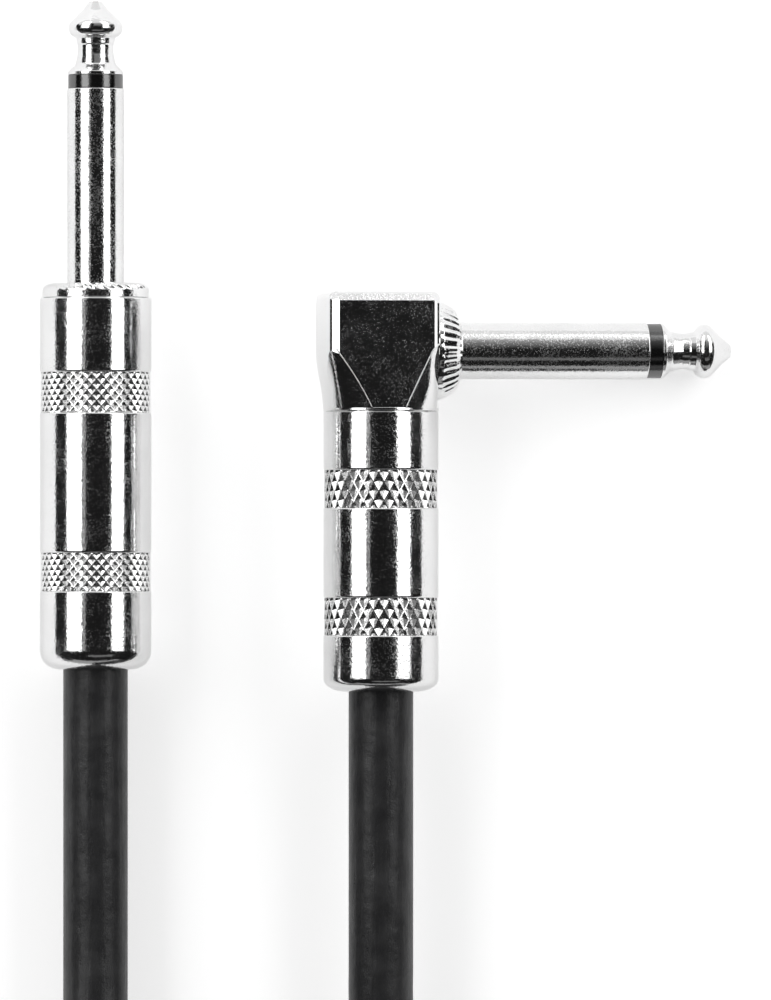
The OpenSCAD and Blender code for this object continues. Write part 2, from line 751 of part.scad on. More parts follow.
// Strap round all the turns on the side away from the plugs
module coil_strap() {
    slack = 0.3;
    wander = coil_step / 8;                  // the climbing turns swing this far past the flat ones
    inner = coil_inner_r - cable_r - wander;
    near = coil_centre.y - sqrt(inner * inner - strap_w * strap_w / 4) + slack;
    far = coil_centre.y - coil_outer_r - cable_r - wander - slack;
    top = coil_z + (layers - 1) * coil_step + cable_r + slack;
    corner = 3;
    color([0.08, 0.08, 0.09])
        translate([coil_centre.x - strap_w / 2, 0, 0])
            rotate([90, 0, 90])
                linear_extrude(strap_w)
                    difference() {
                        strap_loop(far - strap_t, near + strap_t, 0, top + strap_t, corner + strap_t);
                        strap_loop(far, near, strap_t, top, corner);
                    }
}

// A rectangle with round corners
module strap_loop(x0, x1, y0, y1, r) {
    translate([x0 + r, y0]) square([x1 - x0 - 2 * r, y1 - y0]);
    translate([x0, y0 + r]) square([x1 - x0, y1 - y0 - 2 * r]);
    for (x = [x0 + r, x1 - r], y = [y0 + r, y1 - r])
        translate([x, y]) circle(r);
}

// ---- the nodes --------------------------------------------------------------------

straight_tip();
straight_tip_insulator();
straight_sleeve();
straight_collar();
straight_ground_clamp();
straight_washer();
straight_tip_lug();
straight_core();
straight_wire();
straight_screen();
straight_solder();
straight_liner();
straight_barrel();
angled_tip();
angled_tip_insulator();
angled_sleeve();
angled_collar();
angled_block();
angled_back_cover();
angled_inner_bush();
angled_stub_bush();
angled_tip_lug();
angled_ground_clamp();
angled_core();
angled_wire();
angled_screen();
angled_solder();
angled_liner();
angled_barrel();
cable_straight_run();
cable_coil();
cable_angled_run();
coil_strap();
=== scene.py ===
"""Finished look of an instrument cable: a straight plug, an angled plug and their tied cable.

Sizes in the classes are millimetres, in the frame of the plug they belong to. A piece is turned
into metres when it is laid in its place.
"""

from __future__ import annotations

import logging
import math
from collections.abc import Callable, Iterable, Sequence
from dataclasses import dataclass, replace
from enum import Enum
from typing import Any

import bmesh
import bpy
from mathutils import Matrix, Vector


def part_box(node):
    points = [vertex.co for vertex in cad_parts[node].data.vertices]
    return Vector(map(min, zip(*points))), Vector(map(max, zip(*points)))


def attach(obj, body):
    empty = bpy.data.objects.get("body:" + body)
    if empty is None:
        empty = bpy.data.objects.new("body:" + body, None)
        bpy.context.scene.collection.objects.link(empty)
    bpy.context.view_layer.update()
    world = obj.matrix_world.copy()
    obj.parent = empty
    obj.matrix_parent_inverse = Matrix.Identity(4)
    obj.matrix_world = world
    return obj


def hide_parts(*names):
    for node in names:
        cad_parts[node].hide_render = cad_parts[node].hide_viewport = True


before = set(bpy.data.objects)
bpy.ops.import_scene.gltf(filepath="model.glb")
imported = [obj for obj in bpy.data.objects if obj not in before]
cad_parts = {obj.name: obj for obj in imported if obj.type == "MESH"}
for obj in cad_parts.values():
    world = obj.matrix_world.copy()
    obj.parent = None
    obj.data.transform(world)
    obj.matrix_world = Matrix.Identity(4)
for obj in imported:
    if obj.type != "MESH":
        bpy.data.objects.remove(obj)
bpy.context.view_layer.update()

LOG = logging.getLogger("instrument_cable")
MM = 0.001
TAU = 2 * math.pi
Span = tuple[float, float]
Triple = tuple[float, float, float]
Colour = Triple
Profile = tuple[Span, ...]

# Sectors of small and of wide turned pieces
FEW, MANY = 96, 192
# Watts for each square metre of a soft lamp that is as bright as a card of strength 1
WATTS = 4

# Where the plugs lie, by the middle of each barrel's front, and how they are turned
STRAIGHT_AT = Vector((-32.34494, 5.40416, 6.225))
ANGLED_AT = Vector((-0.54494, -7.24584, 8.41717))
ROLL = math.radians(8.5)
FINGER_HEIGHT = 6.75

STRAIGHT = Matrix.Translation(STRAIGHT_AT) @ Matrix.Rotation(-math.pi / 2, 4, "X")
ANGLED = (
    Matrix.Translation(ANGLED_AT)
    @ Matrix.Rotation(ROLL, 4, "Y")
    @ Matrix.Rotation(-math.pi / 2, 4, "X")
)
FINGER = ANGLED @ Matrix.Translation((0, 0, FINGER_HEIGHT)) @ Matrix.Rotation(math.pi / 2, 4, "Y")
WORLD = Matrix.Identity(4)


class Body(Enum):
    """What a piece moves with."""

    CABLE = "cable"
    STRAIGHT_BARREL = "straight_barrel"
    ANGLED_BARREL = "angled_barrel"


# ---- finishes


class Nodes:
    """Node tree of one material or world, with short calls to wire it."""

    def __init__(self, owner: bpy.types.Material | bpy.types.World) -> None:
        """Empties the owner's node tree and keeps it.

        Args:
            owner: the material or world whose nodes are wired.
        """
        owner.use_nodes = True
        self.tree = owner.node_tree
        self.tree.nodes.clear()

    def add(self, kind: str, inputs: dict[str | int, Any] | None = None, **settings: Any) -> bpy.types.Node:
        """Adds a node, sets or links its inputs and sets its properties.

        Args:
            kind: the node's type name.
            inputs: a value, or a socket to link, for each input's name or number.
            settings: values of the node's own properties.

        Returns:
            The new node.
        """
        node = self.tree.nodes.new(kind)
        for key, value in settings.items():
            setattr(node, key, value)
        for key, value in (inputs or {}).items():
            if isinstance(value, bpy.types.NodeSocket):
                self.tree.links.new(value, node.inputs[key])
            else:
                node.inputs[key].default_value = value
        return node

    def noise(self, at: bpy.types.NodeSocket, scale: float, detail: float = 2.0) -> bpy.types.NodeSocket:
        """Noise between 0 and 1, with a scale in periods per metre and a number of finer layers."""
        return self.add("ShaderNodeTexNoise", {"Vector": at, "Scale": scale, "Detail": detail}).outputs[0]

    def ranged(self, value: bpy.types.NodeSocket, span: Span, to: Span) -> bpy.types.NodeSocket:
        """Maps a value from one range to another, clamped."""
        numbers = {"Value": value, 1: span[0], 2: span[1], 3: to[0], 4: to[1]}
        return self.add("ShaderNodeMapRange", numbers).outputs[0]

    def blend(self, share: bpy.types.NodeSocket, first: Colour, second: Colour) -> bpy.types.NodeSocket:
        """Mixes two colours: a share of 0 shows the first, and 1 the second."""
        node = self.add("ShaderNodeMix", {0: share, 6: (*first, 1), 7: (*second, 1)}, data_type="RGBA")
        return node.outputs[2]

    def math(self, operation: str, *values: Any) -> bpy.types.NodeSocket:
        """One arithmetic step on numbers or sockets."""
        return self.add("ShaderNodeMath", dict(enumerate(values)), operation=operation).outputs[0]

    def bump(self, height: bpy.types.NodeSocket, depth: float, strength: float = 1.0) -> bpy.types.NodeSocket:
        """Turns a height between 0 and 1 into the normal of a relief, its depth in metres."""
        return self.add("ShaderNodeBump", {"Height": height, "Distance": depth, "Strength": strength}).outputs[0]

    def object_place(self) -> bpy.types.NodeSocket:
        """Place on the object, in metres."""
        return self.add("ShaderNodeTexCoord").outputs["Object"]

    def laid_place(self) -> bpy.types.NodeSocket:
        """Place on a laid piece: metres along it, then across it."""
        return self.add("ShaderNodeAttribute", attribute_name="laid").outputs["Vector"]

    def turned(
        self, at: bpy.types.NodeSocket, turn: Triple = (0, 0, 0), scale: Triple = (1, 1, 1)
    ) -> bpy.types.NodeSocket:
        """Turns and stretches the pattern that is read at a place."""
        return self.add("ShaderNodeMapping", {"Vector": at, "Rotation": turn, "Scale": scale}).outputs[0]

    def surface(self, shader: bpy.types.NodeSocket) -> None:
        """Ends the tree with its output."""
        self.add("ShaderNodeOutputMaterial", {"Surface": shader})

    def glossy(self, inputs: dict[str | int, Any]) -> None:
        """Ends the tree with a principled shader that has these inputs."""
        self.surface(self.add("ShaderNodeBsdfPrincipled", inputs).outputs[0])


@dataclass(frozen=True)
class Finish:
    """A finish by name, with the material slot that it stands for."""

    name: str
    slot: str

    def material(self) -> bpy.types.Material:
        """Makes the material the first time, and hands out the same one after that.

        Returns:
            The finish's material.
        """
        known = bpy.data.materials.get(self.name)
        if known:
            return known
        material = bpy.data.materials.new(self.name)
        self.wire(Nodes(material))
        return material

    def wire(self, nodes: Nodes) -> None:
        """Wires the material's nodes, which each finish does its own way."""
        raise NotImplementedError


@dataclass(frozen=True)
class Metal(Finish):
    """Bare or plated metal with a fine grain, dull specks, hair scratches and a little tarnish."""

    colour: Colour
    worn: Colour
    roughness: Span
    grain: float
    depth: float
    crowd: Span = (0.58, 0.47)  # level of the specks, where they are few and where they crowd
    crowd_span: Span = (0.35, 0.65)
    crowd_scale: float = 450
    speck_scale: float = 5500
    speck_edge: float = 0.12
    hair_scale: float = 3000
    hair_turn: Triple = (0.3, 0.5, 0.7)
    hair_stretch: Triple = (1, 0.04, 1)
    hair_level: float = 0.76
    tarnish_scale: float = 260
    tarnish_span: Span = (0.35, 0.75)

    def wire(self, nodes: Nodes) -> None:
        """Tarnish in the colour, specks and scratches in the roughness, grain in the relief.

        Args:
            nodes: the material's nodes.
        """
        at = nodes.object_place()
        patches = nodes.noise(at, self.tarnish_scale, 4)
        colour = nodes.blend(nodes.ranged(patches, self.tarnish_span, (0, 1)), self.colour, self.worn)
        crowd = nodes.ranged(nodes.noise(at, self.crowd_scale, 2), self.crowd_span, self.crowd)
        specks = nodes.math("SUBTRACT", nodes.noise(at, self.speck_scale, 2), crowd)
        fibres = nodes.turned(at, self.hair_turn, self.hair_stretch)
        hair = nodes.math("SUBTRACT", nodes.noise(fibres, self.hair_scale, 1), self.hair_level)
        dull = nodes.ranged(nodes.math("MAXIMUM", specks, hair), (0.0, self.speck_edge), self.roughness)
        normal = nodes.bump(nodes.noise(at, self.grain, 1), self.depth)
        nodes.glossy({"Base Color": colour, "Metallic": 1.0, "Roughness": dull, "Normal": normal})


@dataclass(frozen=True)
class Plastic(Finish):
    """Moulded plastic with a faintly uneven gloss."""

    colour: Colour
    worn: Colour
    roughness: Span
    ior: float = 1.5
    clear: float = 0.0
    depth: float = 0.00002
    mottle_scale: float = 900
    mottle_span: Span = (0.3, 0.7)
    fine_scale: float = 7000

    def wire(self, nodes: Nodes) -> None:
        """Mottled colour and roughness over a fine moulded texture.

        Args:
            nodes: the material's nodes.
        """
        at = nodes.object_place()
        mottle = nodes.noise(at, self.mottle_scale, 3)
        fine = nodes.noise(at, self.fine_scale, 2)
        nodes.glossy({
            "Base Color": nodes.blend(mottle, self.colour, self.worn),
            "Roughness": nodes.ranged(mottle, self.mottle_span, self.roughness),
            "IOR": self.ior,
            "Transmission Weight": self.clear,
            "Normal": nodes.bump(fine, self.depth, 0.5),
        })


@dataclass(frozen=True)
class Jacket(Finish):
    """Satin black cable jacket, with scuffs that run along it."""

    colour: Colour = (0.018, 0.018, 0.019)
    dusty: Colour = (0.036, 0.036, 0.037)
    roughness: Span = (0.27, 0.44)
    ior: float = 1.42
    depth: float = 0.00007
    scuff_stretch: Triple = (0.12, 1, 1)
    scuff_scale: float = 1500
    scuff_span: Span = (0.3, 0.75)
    grain_scale: float = 7000
    grain_share: float = 0.3
    dust_scale: float = 300
    dust_span: Span = (0.4, 0.75)
    dust_share: float = 3.0

    def wire(self, nodes: Nodes) -> None:
        """Dust in the colour, scuffs in the gloss, and both in the relief.

        Args:
            nodes: the material's nodes.
        """
        at = nodes.laid_place()
        scuffs = nodes.noise(nodes.turned(at, scale=self.scuff_stretch), self.scuff_scale, 4)
        grain = nodes.noise(at, self.grain_scale, 2)
        dust = nodes.noise(at, self.dust_scale, 5)
        colour = nodes.blend(nodes.ranged(dust, self.dust_span, (0, 1)), self.colour, self.dusty)
        rough = nodes.ranged(scuffs, self.scuff_span, self.roughness)
        dents = nodes.math("MULTIPLY", dust, self.dust_share)
        pores = nodes.math("MULTIPLY", grain, self.grain_share)
        height = nodes.math("ADD", nodes.math("ADD", dents, pores), scuffs)
        normal = nodes.bump(height, self.depth, 0.8)
        nodes.glossy({"Base Color": colour, "Roughness": rough, "IOR": self.ior, "Normal": normal})


@dataclass(frozen=True)
class Webbing(Finish):
    """Woven strap: threads along and across it, with a little fuzz, and painted shade darkening the weave's
    hollows.
    """

    colour: Colour = (0.006, 0.006, 0.007)
    # Colour of the raised threads; the darker colour in the weave's low parts is painted shade
    raised: Colour = (0.032, 0.032, 0.035)
    roughness: Span = (0.72, 0.95)
    sheen: float = 0.35
    depth: float = 0.00025
    weft_scale: float = 560
    warp_scale: float = 420
    fuzz_scale: float = 5200
    fuzz_span: Span = (0.3, 0.7)
    fuzz_share: float = 0.5

    def wire(self, nodes: Nodes) -> None:
        """Two crossed waves for the weave, and noise for the fuzz; the colour is darker where their height is low,
        which paints shade into the weave's hollows.

        Args:
            nodes: the material's nodes.
        """
        at = nodes.laid_place()
        across = nodes.turned(at, (0, 0, math.pi / 2))
        weft = nodes.add("ShaderNodeTexWave", {"Vector": at, "Scale": self.weft_scale, "Distortion": 1.2})
        warp = nodes.add("ShaderNodeTexWave", {"Vector": across, "Scale": self.warp_scale, "Distortion": 0.8})
        weave = nodes.math("MULTIPLY", weft.outputs["Fac"], warp.outputs["Fac"])
        fuzz = nodes.noise(at, self.fuzz_scale, 4)
        height = nodes.math("ADD", weave, nodes.math("MULTIPLY", fuzz, self.fuzz_share))
        nodes.glossy({
            # Lighter on raised threads and darker in the hollows: painted shade in the weave, with uneven tone
            # from the fuzz
            "Base Color": nodes.blend(height, self.colour, self.raised),
            "Roughness": nodes.ranged(fuzz, self.fuzz_span, self.roughness),
            "Sheen Weight": self.sheen,
            "Sheen Roughness": 0.5,
            "Normal": nodes.bump(height, self.depth, 0.8),
        })


PLATE = ((0.9, 0.9, 0.9), (0.84, 0.84, 0.84))
NICKEL = Metal("smooth_nickel", "polished_nickel", *PLATE, (0.10, 0.27), 3800, 0.00001)
HANDLED = Metal("handled_nickel", "polished_nickel", *PLATE, (0.11, 0.28), 3800, 0.00001, (0.54, 0.43))
KNURLED = Metal("knurled_nickel", "polished_nickel", *PLATE, (0.20, 0.30), 3800, 0.000012)
BRASS = Metal("worked_brass", "plated_brass", (0.72, 0.60, 0.38), (0.60, 0.47, 0.27), (0.16, 0.34), 3600, 0.000004)
COPPER = Metal("bare_copper", "copper", (0.80, 0.42, 0.26), (0.66, 0.30, 0.17), (0.22, 0.42), 4200, 0.00001)
SOLDER = Metal("soft_solder", "solder", (0.68, 0.68, 0.67), (0.52, 0.52, 0.53), (0.2, 0.42), 1500, 0.00002)
INSULATOR = Plastic(
    "moulded_black", "black_insulator", (0.003, 0.003, 0.003), (0.006, 0.006, 0.006), (0.08, 0.16), ior=2.2
)
FIBRE = Plastic("red_fibre", "fibre_washer", (0.20, 0.075, 0.035), (0.28, 0.12, 0.06), (0.55, 0.8))
CORE = Plastic("natural_core", "core_insulation", (0.78, 0.78, 0.76), (0.7, 0.7, 0.68), (0.3, 0.45))
LINER = Plastic("clear_film", "clear_liner", (0.9, 0.92, 0.92), (0.82, 0.85, 0.86), (0.12, 0.3), clear=0.85)
JACKET = Jacket("satin_jacket", "cable_jacket")
WEBBING = Webbing("woven_strap", "strap_fabric")


# ---- shaping


@dataclass(frozen=True)
class Corner:
    """A corner of a turned outline: its radius and height, and the radius that rounds it."""

    r: float
    z: float
    round: float = 0.0
    steps: int = 5


def rounded(corners: Sequence[Corner], closed: bool) -> list[Vector]:
    """Rounds an outline's corners, with a short straight beside each arc to keep the flats flat.

    Args:
        corners: the outline's corners in order.
        closed: whether the last corner joins the first.

    Returns:
        Points in the XZ plane.
    """
    points: list[Vector] = []
    count = len(corners)
    for k, corner in enumerate(corners):
        here = Vector((corner.r, 0, corner.z))
        end = not closed and k in (0, count - 1)
        if end or corner.round == 0:
            points.append(here)
            continue
        before, after = corners[k - 1], corners[(k + 1) % count]
        back = Vector((before.r, 0, before.z)) - here
        ahead = Vector((after.r, 0, after.z)) - here
        half = back.angle(ahead) / 2
        reach = min(corner.round / math.tan(half), 0.48 * back.length, 0.48 * ahead.length)
        arc = reach * math.tan(half)
        back.normalize()
        ahead.normalize()
        middle = here + (back + ahead).normalized() * arc / math.sin(half)
        first, last = here + back * reach - middle, here + ahead * reach - middle
        support = min(0.04, 0.1 * reach)
        points.append(middle + first + back * support)
        for s in range(corner.steps + 1):
            points.append(middle + first.normalized().slerp(last.normalized(), s / corner.steps) * arc)
        points.append(middle + last + ahead * support)
    return points


def spread(first: float, last: float, steps: int) -> list[float]:
    """Evenly spaced numbers, with both ends."""
    return [first + (last - first) * k / steps for k in range(steps + 1)]


def raised(corners: Iterable[Corner], height: float) -> list[Corner]:
    """Lifts an outline's corners by a height."""
    return [replace(corner, z=corner.z + height) for corner in corners]


def sink(at: Vector, depth: float, drop: float = 0.0) -> Vector:
    """Moves a point towards the Z axis by a depth, and down by a share of it."""
    share = 1 - depth / at.xy.length
    return Vector((at.x * share, at.y * share, at.z - drop * depth))


def linked(name: str, bm: bmesh.types.BMesh) -> bpy.types.Object:
    """Makes an object of a finished bmesh and frees the bmesh.

    Args:
        name: the object's name.
        bm: the bmesh.

    Returns:
        The object, linked to the scene.
    """
    mesh = bpy.data.meshes.new(name)
    bm.to_mesh(mesh)
    bm.free()
    made = bpy.data.objects.new(name, mesh)
    bpy.context.scene.collection.objects.link(made)
    return made


class Shape:
    """A mesh in the making, in millimetres, in the frame of what it belongs to."""

    def __init__(self) -> None:
        """Starts empty."""
        self.bm = bmesh.new()

    def turn(self, corners: Sequence[Corner], steps: int = 128) -> Shape:
        """Spins an outline about Z. It may start and end on the axis, and is closed otherwise.

        Args:
            corners: the outline's corners.
            steps: number of sectors.

        Returns:
            This shape.
        """
        closed = corners[0].r > 1e-6 or corners[-1].r > 1e-6
        verts = [self.bm.verts.new(p) for p in rounded(corners, closed)]
        pairs = list(zip(verts, verts[1:])) + ([(verts[-1], verts[0])] if closed else [])
        edges = [self.bm.edges.new(pair) for pair in pairs]
        return self.spin(verts + edges, steps)

    def spin(self, line: list[bmesh.types.BMVert | bmesh.types.BMEdge], steps: int) -> Shape:
        """Spins a line once round Z.

        Args:
            line: its vertices and edges.
            steps: number of sectors.

        Returns:
            This shape.
        """
        bmesh.ops.spin(
            self.bm, geom=line, cent=(0, 0, 0), axis=(0, 0, 1), dvec=(0, 0, 0),
            angle=TAU, steps=steps, use_merge=True, use_duplicate=False,
        )
        return self

    def move(self, where: Callable[[Vector], Vector]) -> Shape:
        """Moves every vertex.

        Args:
            where: gives a vertex's new place from its old one.

        Returns:
            This shape.
        """
        for vert in self.bm.verts:
            vert.co = where(vert.co)
        return self

    def cut(self, at: Vector, outward: Vector, fill: bool = True) -> Shape:
        """Cuts off what lies beyond a plane.

        Args:
            at: a point of the plane.
            outward: the side that is cut off.
            fill: whether one flat face closes the cut.

        Returns:
            This shape.
        """
        geom = self.bm.verts[:] + self.bm.edges[:] + self.bm.faces[:]
        bmesh.ops.bisect_plane(self.bm, geom=geom, dist=1e-5, plane_co=at, plane_no=outward, clear_outer=True)
        if fill:
            bmesh.ops.edgeloop_fill(self.bm, edges=[e for e in self.bm.edges if e.is_boundary])
        return self

    def sweep(self, path: Sequence[Vector], radius: float, sides: int) -> Shape:
        """Draws a round tube along a path, its vertices marked with how they are laid.

        Args:
            path: the middle line.
            radius: the tube's radius.
            sides: number of sides.

        Returns:
            This shape.
        """
        bm = self.bm
        laid = bm.verts.layers.float_vector.new("laid")
        ring = bmesh.ops.create_circle(bm, segments=sides, radius=radius, cap_ends=True)["verts"]
        home = {v: v.co.copy() for v in ring}
        edges = bm.edges[:]
        along = 0.0
        for k, point in enumerate(path):
            if k:
                grown = bmesh.ops.extrude_edge_only(bm, edges=edges)["geom"]
                fresh = [g for g in grown if isinstance(g, bmesh.types.BMVert)]
                edges = [g for g in grown if isinstance(g, bmesh.types.BMEdge)]
                beside = {v: [e.other_vert(v) for e in v.link_edges] for v in fresh}
                home = {v: next(home[o] for o in beside[v] if o in home) for v in fresh}
                along += (point - path[k - 1]).length
            ahead = path[min(k + 1, len(path) - 1)] - path[max(k - 1, 0)]
            across = ahead.cross(Vector((0, 0, 1))).normalized()
            up = across.cross(ahead).normalized()
            for vert, flat in home.items():
                vert.co = point + flat.x * across + flat.y * up
                vert[laid] = Vector((along, flat.x, flat.y)) * MM
        bmesh.ops.contextual_create(bm, geom=edges)
        bmesh.ops.recalc_face_normals(bm, faces=bm.faces)
        return self.soften(60)

    def clean(self) -> Shape:
        """Merges doubles and turns every face outwards.

        Returns:
            This shape.
        """
        bmesh.ops.remove_doubles(self.bm, verts=self.bm.verts, dist=1e-4)
        bmesh.ops.dissolve_degenerate(self.bm, edges=self.bm.edges, dist=1e-5)
        bmesh.ops.recalc_face_normals(self.bm, faces=self.bm.faces)
        return self

    def soften(self, angle: float = 32) -> Shape:
        """Shades smoothly, except over sharp edges.

        Args:
            angle: from how many degrees an edge is sharp.

        Returns:
            This shape.
        """
        limit = math.radians(angle)
        for face in self.bm.faces:
            face.smooth = True
        for edge in self.bm.edges:
            edge.smooth = len(edge.link_faces) == 2 and edge.calc_face_angle(0) < limit
        return self

    def join(self, other: Shape) -> Shape:
        """Adds another shape's mesh to this one as it is.

        Args:
            other: the shape that is taken in, and is empty after that.

        Returns:
            This shape.
        """
        mesh = bpy.data.meshes.new("joining")
        other.bm.to_mesh(mesh)
        other.bm.free()
        self.bm.from_mesh(mesh)
        bpy.data.meshes.remove(mesh)
        return self

    def lay(self, name: str, place: Matrix, finish: Finish, body: Body, *nodes: str) -> bpy.types.Object:
        """Makes the finished object in metres and fixes it to its body.

        Args:
            name: the piece's name.
            place: the frame that the shape was drawn in.
            finish: its finish.
            body: what it moves with.
            nodes: the solids that it stands for.

        Returns:
            The piece.
        """
        self.bm.transform(Matrix.Scale(MM, 4) @ place)
        piece = linked(name, self.bm)
        piece.data.materials.append(finish.material())
        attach(piece, body.value)
        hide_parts(*nodes)
        LOG.info("%s: %d faces, %s", piece.name, len(piece.data.polygons), finish.name)
        return piece


def dress(finish: Finish, *nodes: str) -> None:
    """Gives solids that keep their own shape a finish.

    Args:
        finish: the finish.
        nodes: names of the solids.
    """
    for name in nodes:
        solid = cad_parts[name]
        solid.data.materials.clear()
        solid.data.materials.append(finish.material())
        LOG.info("%s: solid kept, %s", name, finish.name)


def dress_inside(side: str) -> None:
    """Gives the solids that both plugs hold their finishes.

    Args:
        side: the plug that they belong to.
    """
    dress(BRASS, f"{side}_ground_clamp", f"{side}_tip_lug")
    dress(CORE, f"{side}_core")
    dress(COPPER, f"{side}_wire", f"{side}_screen")
    dress(SOLDER, f"{side}_solder")
    dress(LINER, f"{side}_liner")


# ---- plug pieces


@dataclass(frozen=True)
class Contact:
    """The finger of a plug: turned tip with its rod, black ring and sleeve."""

    root: float  # where the sleeve leaves the collar
    reach: float  # where the nose ends
    sleeve_len: float
    neck_len: float
    rod_end: float
    tube_end: float
    sleeve_tail: tuple[Corner, ...]
    sleeve_r: float = 3.175
    ring_r: float = 3.06
    flare_r: float = 3.1
    ring_len: float = 1.55
    flare_len: float = 2.38
    neck_at: float = 5.01  # from the nose's end to the neck
    rod_r: float = 1.15
    tube_r: float = 1.7
    clearance: float = 0.03
    nose: tuple[Corner, ...] = (Corner(0, 0), Corner(0.7, 0, 0.08), Corner(1.5, -1.0, 1.6))
    ball_middle: Span = (1.89, -2.97)
    ball_r: float = 1.15
    ball_turn: Span = (42.0, -66.0)  # degrees from the finger's side
    ball_steps: int = 30
    neck: tuple[Corner, ...] = (Corner(2.19, -4.14, 0.04), Corner(2.14, -4.74, 0.12), Corner(2.015, -4.9, 0.06))
    flare: tuple[Corner, ...] = (Corner(2.015, -0.05, 1.2), Corner(2.26, -1.22, 0.5), Corner(3.1, -2.05, 0.16))
    head: tuple[Corner, ...] = (Corner(1.55, 0, 0.1), Corner(0.9, -0.5, 0.2), Corner(0, -0.5))

    def tip(self) -> Shape:
        """Turned tip: nose, ball, neck and flare, then the rod with its riveted head.

        Returns:
            The tip.
        """
        top = self.reach
        flare = top - self.neck_at - self.neck_len
        seat = flare - self.flare_len
        r, z = self.ball_middle
        turns = [math.radians(a) for a in spread(*self.ball_turn, self.ball_steps)]
        ball = [Corner(r + self.ball_r * math.cos(a), top + z + self.ball_r * math.sin(a)) for a in turns]
        corners = [
            *raised(self.nose, top), *ball, *raised(self.neck, top), *raised(self.flare, flare),
            Corner(self.flare_r, seat, 0.05), Corner(self.rod_r, seat), Corner(self.rod_r, self.rod_end),
            *raised(self.head, self.rod_end),
        ]
        return Shape().turn(corners).clean().soften()

    def insulator(self) -> Shape:
        """Black ring and the tube that lines the sleeve, in one moulding.

        Returns:
            The insulator.
        """
        low = self.root + self.sleeve_len
        high = low + self.ring_len
        bore = self.rod_r + self.clearance
        corners = [
            Corner(bore, high), Corner(self.ring_r, high, 0.1), Corner(self.ring_r, low, 0.1),
            Corner(self.tube_r, low), Corner(self.tube_r, self.tube_end), Corner(bore, self.tube_end),
        ]
        return Shape().turn(corners).clean().soften()

    def sleeve(self) -> Shape:
        """Sleeve contact with a fine broken edge at its front, and its narrower tail.

        Returns:
            The sleeve.
        """
        high = self.root + self.sleeve_len
        corners = [
            Corner(self.tube_r + self.clearance, high), Corner(self.sleeve_r, high, 0.12),
            Corner(self.sleeve_r, self.root + 0.01, 0.05), *self.sleeve_tail,
        ]
        return Shape().turn(corners).clean().soften()

    def build(self, side: str, place: Matrix) -> None:
        """Makes and lays the finger's pieces.

        Args:
            side: the plug that it belongs to.
            place: the finger's frame.
        """
        self.tip().lay(f"{side}_tip_turned", place, NICKEL, Body.CABLE, f"{side}_tip")
        self.insulator().lay(f"{side}_ring", place, INSULATOR, Body.CABLE, f"{side}_tip_insulator")
        self.sleeve().lay(f"{side}_sleeve_turned", place, HANDLED, Body.CABLE, f"{side}_sleeve")


@dataclass(frozen=True)
class Knurl:
    """A recessed band of diamond pits between crossed ridges, measured back from the barrel's front."""

    start: float
    length: float
    around: int
    step: float
    first: float  # from the band's start to its first crossing
    radius: float
    depth: float
    ridge: float = 0.05  # half a ridge's width
    inner: float = 0.62  # how far the closed band reaches in
    inset: float = 0.3  # smooth part of each end
    lean: float = 0.15  # how far a pit leans forward, as a share of the step

    def ends(self) -> Span:
        """Heights between which the band is knurled, the front one first."""
        return -self.start - self.inset, self.inset - self.start - self.length

    def band(self) -> Shape:
        """Crossed ridges round the barrel, cut square at both ends and closed inside.

        Returns:
            The band, its faces on the barrel's second material.
        """
        shape = Shape()
        bm = shape.bm
        rows = math.ceil((self.length - self.first) / self.step) + 2
        top = -self.start - self.first + self.step
        line = [bm.verts.new((self.radius, 0, top - self.step * k)) for k in range(rows + 1)]
        edges = [bm.edges.new(pair) for pair in zip(line, line[1:])]
        shape.spin(line + edges, 2 * self.around)
        bmesh.ops.remove_doubles(bm, verts=bm.verts, dist=1e-4)

        def is_pit(vert: bmesh.types.BMVert) -> bool:
            """Whether a grid point is the middle of a diamond."""
            column = round(math.atan2(vert.co.y, vert.co.x) / (TAU / (2 * self.around)))
            return (column + round((top - vert.co.z) / self.step)) % 2 == 1

        pits = [v for v in bm.verts if is_pit(v)]
        crossings = [v for v in bm.verts if not is_pit(v)]
        ridges = bmesh.ops.connect_verts(bm, verts=crossings)["edges"]
        for vert in pits:
            vert.co.xy *= 1 - self.depth / self.radius
            vert.co.z += self.lean * self.step
        made = bmesh.ops.bevel(
            bm, geom=ridges, offset=self.ridge, offset_type="OFFSET", affect="EDGES",
            segments=2, profile=0.5, material=-1, clamp_overlap=True,
        )
        rounds = set(made["faces"])
        for face in bm.faces:
            face.smooth = face in rounds
            face.material_index = 1
        for z, way in zip(self.ends(), (1, -1)):
            shape.cut(Vector((0, 0, z)), Vector((0, 0, way)), fill=False)
        rims = [e for e in bm.edges if e.is_boundary]
        inward = bmesh.ops.extrude_edge_only(bm, edges=rims)["geom"]
        for vert in (g for g in inward if isinstance(g, bmesh.types.BMVert)):
            vert.co.xy = vert.co.xy.normalized() * (self.radius - self.inner)
        bmesh.ops.bridge_loops(bm, edges=[e for e in bm.edges if e.is_boundary])
        bmesh.ops.recalc_face_normals(bm, faces=bm.faces)
        return shape


